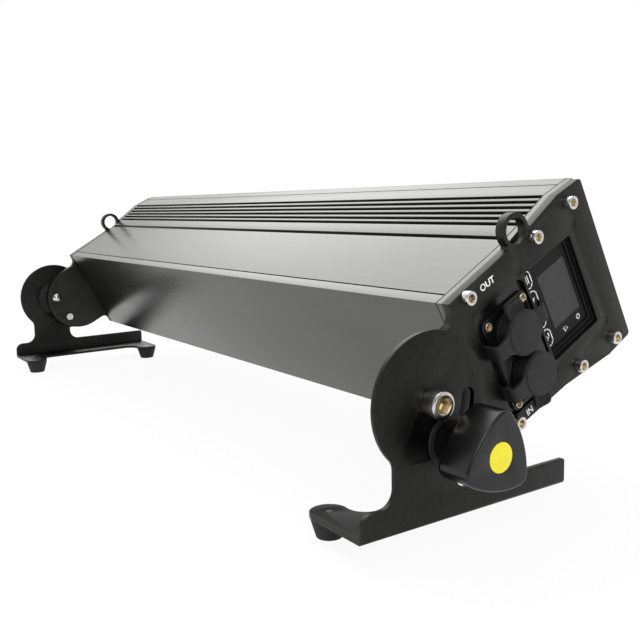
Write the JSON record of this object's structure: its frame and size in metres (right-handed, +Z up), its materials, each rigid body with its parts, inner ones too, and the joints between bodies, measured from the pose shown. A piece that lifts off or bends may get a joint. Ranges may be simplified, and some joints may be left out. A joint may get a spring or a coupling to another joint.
{
  "type": "outdoor wall washer light",
  "caption": "Black finned lamp bar on two floor brackets, tilting on end bolts and held by three-lobed clamp knobs, with a control panel and capped sockets on its ends.",
  "frame": {"origin": "on the floor, at the middle of the light's length and depth", "axes": "+X along the bar to the end with the display, +Y the way the light leans and shines, +Z up"},
  "size_m": [0.7752, 0.2352, 0.2027],
  "materials": {
    "black_anodised": "black anodised, satin",
    "black_coated": "black powder coat, fine satin",
    "bracket_black": "black powder coat, satin",
    "steel": "bright steel",
    "clear_glass": "toughened, clear",
    "black_rubber": "matt rubber",
    "cap_rubber": "soft matt rubber",
    "black_gloss_plastic": "glossy black",
    "black_nylon": "matt black nylon",
    "yellow_plastic": "satin yellow",
    "circuit_board": "green solder resist",
    "led_chip": "phosphor",
    "clear_acrylic": "clear acrylic",
    "bare_aluminium": "mill finish",
    "potting_grey": "potted driver",
    "display_film": "glossy film over the display",
    "lcd_glass": "grey liquid crystal panel"
  },
  "bodies": {
    "lamp_bar": {"bar_profile": "black_anodised", "front_glass": "clear_glass", "glass_seal": "black_rubber", "led_board": "circuit_board", "led_chips": "led_chip", "lens_plate": "clear_acrylic", "driver_tray": "bare_aluminium", "power_supply": "potting_grey", "control_board": "circuit_board", "board_standoffs": "steel", "display_window": "display_film", "lcd_panel": "lcd_glass", "touch_board": "circuit_board", "end_plate_right": "black_coated", "end_collar_right": "black_coated", "end_gasket_right": "black_rubber", "end_screws_right": "steel", "socket_panel_right": "black_gloss_plastic", "panel_screws_right": "steel", "pivot_washer_right": "black_nylon", "clamp_spacer_right": "black_nylon", "pivot_bolt_right": "steel", "end_plate_left": "black_coated", "end_collar_left": "black_coated", "end_gasket_left": "black_rubber", "end_screws_left": "steel", "socket_panel_left": "black_gloss_plastic", "panel_screws_left": "steel", "pivot_washer_left": "black_nylon", "clamp_spacer_left": "black_nylon", "pivot_bolt_left": "steel", "socket_dmx_out": "black_nylon", "strap_dmx_out": "cap_rubber", "socket_dmx_in": "black_nylon", "strap_dmx_in": "cap_rubber", "socket_power_out": "black_nylon", "strap_power_out": "cap_rubber", "socket_power_in": "black_nylon", "strap_power_in": "cap_rubber"},
    "bracket_right": {"bracket_right": "bracket_black", "feet_right": "black_rubber", "foot_screws_right": "steel"},
    "clamp_right": {"knob_right": "black_gloss_plastic", "knob_inlay_right": "yellow_plastic", "clamp_stud_right": "steel"},
    "bracket_left": {"bracket_left": "bracket_black", "feet_left": "black_rubber", "foot_screws_left": "steel"},
    "clamp_left": {"knob_left": "black_gloss_plastic", "knob_inlay_left": "yellow_plastic", "clamp_stud_left": "steel"},
    "cap_dmx_out": {"cap_dmx_out": "cap_rubber"},
    "cap_dmx_in": {"cap_dmx_in": "cap_rubber"},
    "cap_power_out": {"cap_power_out": "cap_rubber"},
    "cap_power_in": {"cap_power_in": "cap_rubber"}
  },
  "joints": [
    {"name": "tilt_right", "type": "hinge", "parent": "lamp_bar", "child": "bracket_right", "pos_m": [0.347, -0.06813, 0.082], "axis": [-1, 0, 0], "range_deg": [-23, 62]},
    {"name": "tilt_left", "type": "hinge", "parent": "lamp_bar", "child": "bracket_left", "pos_m": [-0.347, -0.06813, 0.082], "axis": [-1, 0, 0], "range_deg": [-23, 62]},
    {"name": "clamp_turn_right", "type": "hinge", "parent": "lamp_bar", "child": "clamp_right", "pos_m": [0.3486, -0.05546, 0.05816], "axis": [1, 0, 0], "continuous": true},
    {"name": "clamp_turn_left", "type": "hinge", "parent": "lamp_bar", "child": "clamp_left", "pos_m": [-0.3486, -0.05546, 0.05816], "axis": [-1, 0, 0], "continuous": true},
    {"name": "cap_pull_dmx_out", "type": "slide", "parent": "lamp_bar", "child": "cap_dmx_out", "axis": [1, 0, 0], "range_m": [0, 0.012], "deforming": ["strap_dmx_out"]},
    {"name": "cap_pull_dmx_in", "type": "slide", "parent": "lamp_bar", "child": "cap_dmx_in", "axis": [1, 0, 0], "range_m": [0, 0.012], "deforming": ["strap_dmx_in"]},
    {"name": "cap_pull_power_out", "type": "slide", "parent": "lamp_bar", "child": "cap_power_out", "axis": [-1, 0, 0], "range_m": [0, 0.012], "deforming": ["strap_power_out"]},
    {"name": "cap_pull_power_in", "type": "slide", "parent": "lamp_bar", "child": "cap_power_in", "axis": [-1, 0, 0], "range_m": [0, 0.012], "deforming": ["strap_power_in"]}
  ]
}
